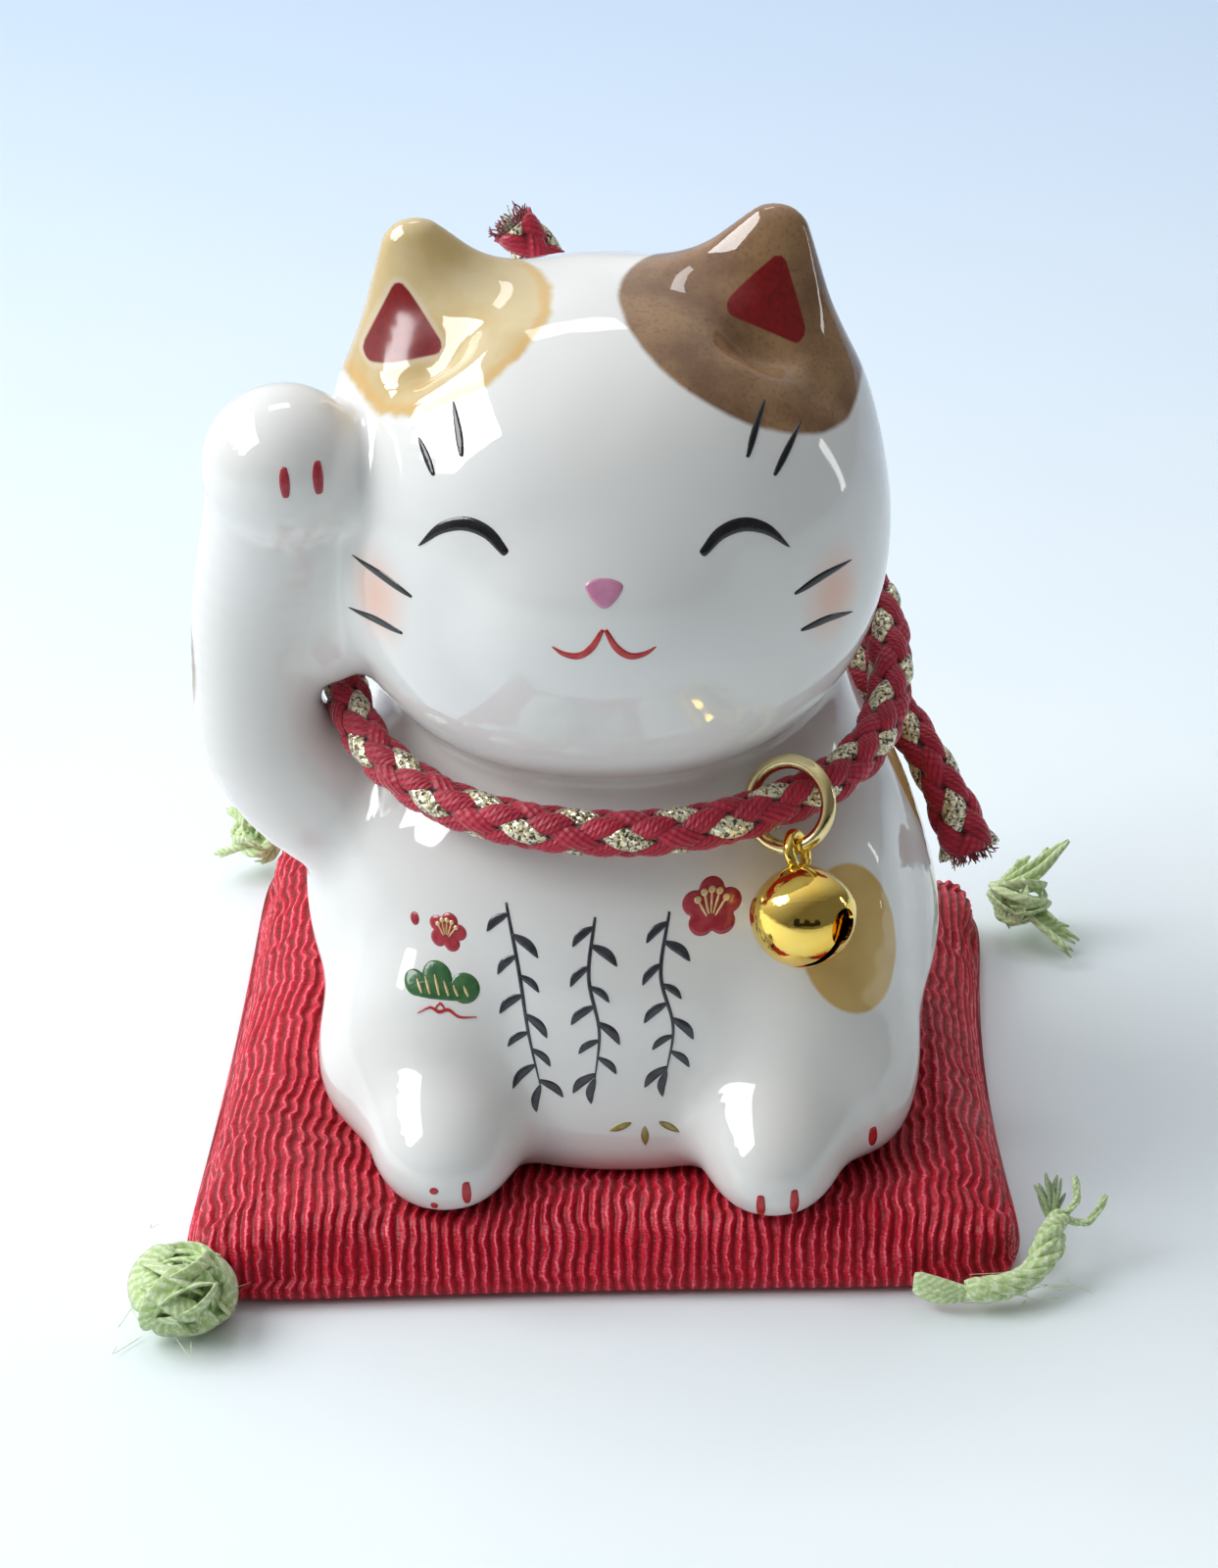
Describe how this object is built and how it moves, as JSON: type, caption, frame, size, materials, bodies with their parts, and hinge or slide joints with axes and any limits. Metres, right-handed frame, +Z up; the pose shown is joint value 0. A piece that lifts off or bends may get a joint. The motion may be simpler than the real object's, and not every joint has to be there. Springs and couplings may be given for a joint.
{
  "type": "beckoning cat figurine",
  "caption": "Hollow glazed porcelain cat with one raised paw, sitting on a small stuffed cushion, with a braided cord collar, a ring and a jingling bell.",
  "frame": {"origin": "on the cushion's flat underside, below the cat", "axes": "+Z up, the cat faces -Y, +X to the right of someone who faces the cat"},
  "size_m": [0.0938, 0.0962, 0.0979],
  "materials": {
    "porcelain": "glossy clear glaze over white porcelain, with painted patches and enamel line work",
    "braided_cord": "round braid of red yarn with flecks of gold thread",
    "ring_gilt": "polished gilt wire",
    "bell_gilt": "mirror-bright gilt brass",
    "pellet_steel": "plain steel shot",
    "cushion_fabric": "crinkled ribbed silky crepe",
    "wadding": "cotton wadding",
    "tassel_yarn": "soft light green yarn"
  },
  "bodies": {
    "cushion": {"cushion_cover": "cushion_fabric", "cushion_filling": "wadding", "tassel_front_left": "tassel_yarn", "tassel_front_right": "tassel_yarn", "tassel_back_left": "tassel_yarn", "tassel_back_right": "tassel_yarn"},
    "cat": {"cat_body": "porcelain", "collar_loop": "braided_cord", "collar_knot": "braided_cord", "collar_tail_upper": "braided_cord", "collar_tail_side": "braided_cord"},
    "ring": {"bell_ring": "ring_gilt"},
    "bell": {"bell_loop": "bell_gilt", "bell_upper_shell": "bell_gilt", "bell_lower_shell": "bell_gilt"},
    "pellet": {"bell_pellet": "pellet_steel"}
  },
  "joints": [
    {"name": "cat_lift", "type": "slide", "parent": "cushion", "child": "cat", "axis": [0, 0, 1], "range_m": [0, 0.04]},
    {"name": "ring_swing", "type": "hinge", "parent": "cat", "child": "ring", "pos_m": [0.0174, -0.02142, 0.04445], "axis": [-0.7929, -0.5993, -0.1106], "range_deg": [0, 38]},
    {"name": "bell_swing", "type": "hinge", "parent": "ring", "child": "bell", "pos_m": [0.0183, -0.02395, 0.04088], "axis": [-0.8604, 0.3192, -0.3973], "range_deg": [0, 30]},
    {"name": "pellet_rattle", "type": "slide", "parent": "bell", "child": "pellet", "axis": [0, 0, 1], "range_m": [0, 0.004]}
  ]
}
